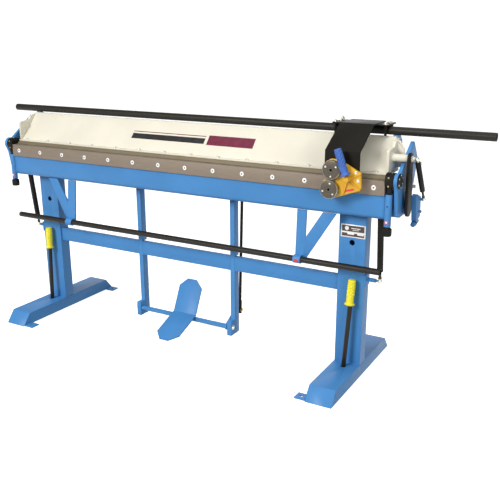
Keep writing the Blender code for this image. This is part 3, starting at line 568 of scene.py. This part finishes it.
def grip(node, start, along, length, radius, flare, look):
    """A hand grip: a flared guard at its foot, and a diamond pattern pressed into its barrel."""
    rows = 90

    def diamonds(d, angle):
        t = d / length
        if not 0.30 < t < 0.94:
            return 0.0
        fade = min(1.0, (t - 0.30) * 12, (0.94 - t) * 20)
        a = math.sin(6 * angle + d * 420)
        b = math.sin(6 * angle - d * 420)
        return 0.0016 * fade * max(a, b) - 0.0010

    profile = [(0, 0), (0, flare * 0.94), (0.0015, flare), (0.0045, flare)]
    for i in range(rows + 1):
        d = 0.006 + (length - 0.010) * i / rows
        t = d / length
        waist = radius + (flare - radius) * max(0.0, 1 - t / 0.13) ** 1.7
        swell = 0.0006 * math.sin(math.pi * min(1.0, t * 1.1))
        profile.append((d, waist * (0.97 + 0.03 * min(1.0, t * 2)) + swell))
    profile += [(length - 0.0015, radius * 0.93), (length, radius * 0.75), (length, 0)]
    bm = bmesh.new()
    lathe(bm, profile, start, along, 72, diamonds)
    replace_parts(finish(bm, "look_" + node, look, BODY_OF[node], sharp=60), node)


def levers():
    for side, _ in SIDES:
        along = axis_of("lever_lift_" + side)
        low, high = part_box("lever_grip_" + side)
        centre = (low + high) / 2
        start = centre - along * GRIP_LENGTH / 2
        look = MATERIALS["yellow_grip"]
        grip("lever_grip_" + side, start, along, GRIP_LENGTH, GRIP_RADIUS, GRIP_FLARE, look)
        rounded("hand_lever_" + side, 0.0008)


def knobs():
    for side, _ in SIDES:
        low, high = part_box("adjuster_knob_" + side)
        base = Vector(((low.x + high.x) / 2, (low.y + high.y) / 2, low.z))
        radius = 0.0188

        def ribs(d, angle):
            return 0.0006 * math.cos(18 * angle) - 0.0006 if 0.002 < d < 0.031 else 0.0

        bm = bmesh.new()
        lathe(bm, [(0, 0), (0, 0.0158), (0.0018, 0.0176), (0.003, radius), (0.014, radius), (0.029, radius),
                   (0.0315, 0.0172), (0.033, 0.0130), (0.0385, 0.0115), (0.0385, 0)], base, UP, 108, ribs)
        node = "adjuster_knob_" + side
        look = MATERIALS["black_plastic"]
        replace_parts(finish(bm, "look_" + node, look, "knob_" + side), node)


def adjuster_marks():
    """The dark peep hole and the two-tone sticker on each adjuster tube."""
    holes, reds, whites = bmesh.new(), bmesh.new(), bmesh.new()
    for side, _ in SIDES:
        centre = eye_of("knob_turn_" + side)
        radius = 0.01405
        lathe(holes, [(0, 0), (0, 0.0030), (0.0006, 0.0030), (0.0006, 0)],
              (centre.x, centre.y - radius + 0.0001, 0.806), FRONT, 24)
        for bm, start, end in ((reds, -125, -60), (whites, -108, -76)):
            grow = 0.0002 if bm is reds else 0.0004
            size = (0.7345, 0.7485) if bm is reds else (0.7375, 0.7455)
            angles = [math.radians(start + (end - start) * i / 10) for i in range(11)]
            outline = [(radius + grow) * Vector((math.cos(a), math.sin(a))) for a in angles]
            outline += [(radius - 0.0003) * Vector((math.cos(a), math.sin(a))) for a in reversed(angles)]
            prism(bm, outline, size[0], size[1], Matrix.Translation((centre.x, centre.y, 0)))
    finish(holes, "adjuster_peep_holes", HOLLOW, "bending")
    finish(reds, "adjuster_stickers", RED, "bending")
    finish(whites, "adjuster_sticker_fields", WHITE, "bending")


# ---- the clamping beam ---------------------------------------------------------------------------
def beam_stripes():
    """Two plain stripes on the sloped sheet, where such a machine carries its printed mark."""
    low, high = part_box("clamp_beam")
    foot, top = Vector((0, low.y, low.z)), Vector((0, 0.056, high.z))
    up = (top - foot).normalized()
    out = RIGHT.cross(up)
    black, maroon = bmesh.new(), bmesh.new()
    for bm, x0, x1, at, height in (
        (maroon, -0.420, -0.002, 0.60, 0.004),
        (black, -0.420, -0.002, 0.45, 0.030),
        (maroon, 0.014, 0.257, 0.49, 0.052),
    ):
        centre = foot.lerp(top, at) + out * 0.0001
        centre.x = (x0 + x1) / 2
        panel(bm, centre, RIGHT, up, x1 - x0, height, 0.0003)
    finish(black, "beam_stripe_black", STRIPE_BLACK, "clamping")
    finish(maroon, "beam_stripe_maroon", MAROON, "clamping")


def trunnion_flares():
    """The welded flare where the right trunnion leaves the beam's end plate."""
    bm = bmesh.new()
    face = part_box("clamp_base_plate")[1].x
    pivot = eye_of("link_tilt_right")
    lathe(bm, [(0, 0), (0, 0.0215), (0.003, 0.0200), (0.010, 0.0168), (0.014, 0.0159), (0.014, 0)],
          (face - 0.0003, pivot.y, pivot.z), RIGHT, 40)
    finish(bm, "trunnion_flares", MATERIALS["cream_paint"], "clamping")


# ---- the cutter ----------------------------------------------------------------------------------
def rollers():
    for name, turn in (("upper_roller", 0.55), ("lower_roller", 1.35)):
        low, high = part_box(name)
        x, z = (low.x + high.x) / 2, (low.z + high.z) / 2
        radius = (high.z - low.z) / 2
        start = Vector((x, high.y, z))
        wheel, face, screws = bmesh.new(), bmesh.new(), bmesh.new()
        lathe(wheel, [(0, 0), (0, radius - 0.004), (0.0015, radius - 0.001), (0.003, radius), (0.016, radius),
                      (0.0185, radius - 0.0006), (0.0200, radius - 0.0018), (0.0200, radius - 0.0026),
                      (0.0192, radius - 0.0028), (0.0192, 0)], start, FRONT, 72)
        outer = [(0.0192, 0), (0.0192, radius - 0.0030), (0.0208, radius - 0.0034), (0.0218, radius - 0.0055)]
        groove = [(0.0218, 0.0140), (0.0206, 0.0130), (0.0206, 0.0095), (0.0214, 0.0088)]
        socket = [(0.0214, 0.0050), (0.0190, 0.0044), (0.0190, 0)]
        lathe(face, outer + groove + socket, start, FRONT, 64)
        for i in range(3):
            a = turn + math.tau * i / 3
            at = start + Vector((0.0255 * math.cos(a), -0.0216, 0.0255 * math.sin(a)))
            cap_screw(screws, at, FRONT, 0.0038, 0.0022)
        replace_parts(finish(wheel, "look_" + name, ROLLER_RIM, name), name)
        finish(face, name + "_face", ROLLER_FACE, name)
        finish(screws, name + "_screws", ZINC, name)


def cutter_details():
    """Ribs, boss, bolts and label of the cast frame, the bolts on the trolley, and the blue grip."""
    ribs, bolts, rods, sticker = bmesh.new(), bmesh.new(), bmesh.new(), bmesh.new()
    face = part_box("upper_roller")[1].y
    boss = Vector((0.888 + MACHINE_X, face, 0.912))
    for dx, dz in ((0.049, 0.021), (0.049, -0.036), (-0.020, -0.068)):
        along = Vector((dx, 0, dz)).normalized()
        across = along.cross(FRONT)
        matrix = Matrix((along, FRONT, across)).transposed().to_4x4()
        matrix.translation = boss
        length = math.hypot(dx, dz)
        prism(ribs, [(0.006, 0.0), (length, 0.0), (length, 0.003), (0.006, 0.011)], -0.0018, 0.0018, matrix)
    turned = [
        (0, 0), (0, 0.0135), (0.004, 0.0125), (0.012, 0.0118), (0.027, 0.0112), (0.029, 0.0100), (0.029, 0),
    ]
    lathe(ribs, turned, boss, FRONT, 40)
    for dx, dz in ((0.0300, 0.0260), (0.0400, -0.0060)):
        bolt(bolts, (boss.x + dx, face, boss.z + dz), FRONT, 0.0048, 0.0035)
    centre = (0.893 + MACHINE_X, face - 0.0001, 0.8660)
    panel(sticker, centre, Vector((0.96, 0, 0.27)), Vector((-0.27, 0, 0.96)), 0.040, 0.0080, 0.0004)
    plate_low, plate_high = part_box("cutter_bracket")
    top = plate_high.z - 0.0045
    rail = middle("cutter_rail")
    for x in (plate_low.x + 0.011, plate_high.x - 0.011):
        bolt(rods, (x, rail.y - 0.030, top + 0.0005), UP, 0.0082, 0.0065)
        lathe(rods, [(0, 0), (0, 0.0044), (0.0100, 0.0044), (0.0106, 0.0036), (0.0106, 0)],
              (x, rail.y - 0.030, top + 0.0005), UP, 20)
        bolt(rods, (x, rail.y + 0.032, top + 0.0005), UP, 0.0075, 0.0058)
    rear = (plate_low.x + 0.010, rail.y + 0.052, plate_high.z)
    bolt(rods, rear, UP, 0.0075, 0.0060)
    lathe(rods, [(0, 0), (0, 0.0042), (0.0130, 0.0042), (0.0135, 0)], rear, UP, 20)
    finish(ribs, "cutter_ribs", MATERIALS["ochre_paint"], "cutter", 0.0004)
    finish(bolts, "cutter_bolts", ZINC, "cutter")
    finish(rods, "trolley_bolts", ZINC, "cutter")
    finish(sticker, "cutter_label", RED, "cutter")
    start = Vector((0.884 + MACHINE_X, -0.1860, 0.9275))
    tip = Vector((0.848 + MACHINE_X, -0.1910, 1.0300))
    grip("cutter_grip", start, (tip - start).normalized(), (tip - start).length, 0.0148, 0.0214,
         MATERIALS["blue_grip"])


# ---- putting it together -------------------------------------------------------------------------
SPECIAL_LOOK = {
    "clamp_nose": NOSE_STEEL_AND_REFLECTION,
    "cutter_bracket": BLACK_SHEET,
    "rail_shoe": MATERIALS["black_plastic"],
}
BROKEN_EDGE = {
    "clamp_beam": 0.0030, "clamp_base_plate": 0.0015, "clamp_nose": 0.0006, "lower_jaw": 0.0006,
    "bending_beam": 0.0015, "bending_bar": 0.0006, "cutter_bracket": 0.0012, "cutter_frame": 0.0020,
    "strut_bracket": 0.0020, "pedal_shaft": 0.0006, "rail_shoe": 0.0004,
}
PAIRED_EDGE = {"beam_end": 0.0030, "leg": 0.0040, "foot": 0.0012, "end_plate": 0.0022, "clamp_link": 0.0028}
for pair, width in PAIRED_EDGE.items():
    BROKEN_EDGE |= {f"{pair}_{side}": width for side, _ in SIDES}
EDGE = 0.0010


def build():
    open_tube("cutter_rail", RAIL_RADIUS, RAIL_WALL, MATERIALS["dark_tube"])
    open_tube("handle_bar", HANDLE_RADIUS, HANDLE_WALL, MATERIALS["dark_tube"])
    levers()
    knobs()
    gas_spring("strut", "", False, STRUT_REACH, 0.178, 0.150, 0.0108, 0.0050)
    for side, _ in SIDES:
        gas_spring("spring", "_" + side, True, SPRING_REACH, 0.372, 0.300, 0.0132, 0.0062, 0.0100)
    rollers()
    cutter_details()
    stand_details()
    bracket_details()
    pedal_rod_nut()
    saddle_sticker()
    nameplate()
    bending_screws()
    ledge_screws()
    hinge_bolts()
    link_pins()
    adjuster_marks()
    beam_stripes()
    trunnion_flares()
    for node, obj in NODES.items():
        if not obj.hide_render:
            rounded(node, BROKEN_EDGE.get(node, EDGE), SPECIAL_LOOK.get(node))


def backdrop(name, look_name, glow, size, place, turn):
    """A large pale plane with a glow of its own, which throws no light on the machine."""
    look, _, shader = new_material(look_name, (0.88, 0.88, 0.88), 0.9, specular=0.1)
    shader.inputs["Emission Color"].default_value = (1.0, 1.0, 1.0, 1.0)
    shader.inputs["Emission Strength"].default_value = glow
    bpy.ops.mesh.primitive_plane_add(size=size, location=place, rotation=turn)
    plane = bpy.context.object
    plane.name = name
    plane.data.materials.append(look)
    plane.visible_diffuse = False


def stage():
    """A pale floor and wall, a large key at the front left, two weak fills, and a weak glow all around."""
    bpy.context.scene.view_settings.view_transform = "Standard"
    backdrop("floor", "pale_floor", 0.78, 60, (0, 0, -0.0005), (0, 0, 0))
    backdrop("wall", "pale_wall", 1.0, 40, (0, 16, 0), (math.pi / 2, 0, 0))
    world = bpy.data.worlds.new("studio")
    bpy.context.scene.world = world
    world.use_nodes = True
    world.node_tree.nodes["Background"].inputs["Color"].default_value = (0.97, 0.985, 1.0, 1.0)
    world.node_tree.nodes["Background"].inputs["Strength"].default_value = 0.30
    for name, place, power, size in (
        ("key", (-3.2, -8.6, 5.4), 850, 3.6),
        ("top", (0.4, -0.6, 4.5), 60, 3.0),
        ("side", (4.2, -2.6, 1.8), 70, 2.0),
    ):
        light = bpy.data.lights.new(name, "AREA")
        light.energy = power
        light.size = size
        obj = bpy.data.objects.new(name, light)
        obj.location = place
        obj.rotation_euler = (Vector((0, 0, 0.7)) - Vector(place)).to_track_quat("-Z", "Y").to_euler()
        bpy.context.scene.collection.objects.link(obj)


def camera():
    """The photographer's view: from the front right, a little above the machine."""
    place = (1.885 + MACHINE_X, -2.7185, 1.445)
    azimuth, elevation, roll = math.radians(29.43), math.radians(16.90), math.radians(-0.08)
    level = math.cos(elevation)
    view = Vector((-math.sin(azimuth) * level, math.cos(azimuth) * level, -math.sin(elevation)))
    lens = bpy.data.cameras.new("camera")
    lens.sensor_width = 36.0
    lens.lens = 50.5
    obj = bpy.data.objects.new("camera", lens)
    turn = view.to_track_quat("-Z", "Y").to_matrix().to_4x4() @ Matrix.Rotation(roll, 4, "Z")
    obj.matrix_world = Matrix.Translation(place) @ turn
    bpy.context.scene.collection.objects.link(obj)
    bpy.context.scene.camera = obj


build()
stage()
camera()
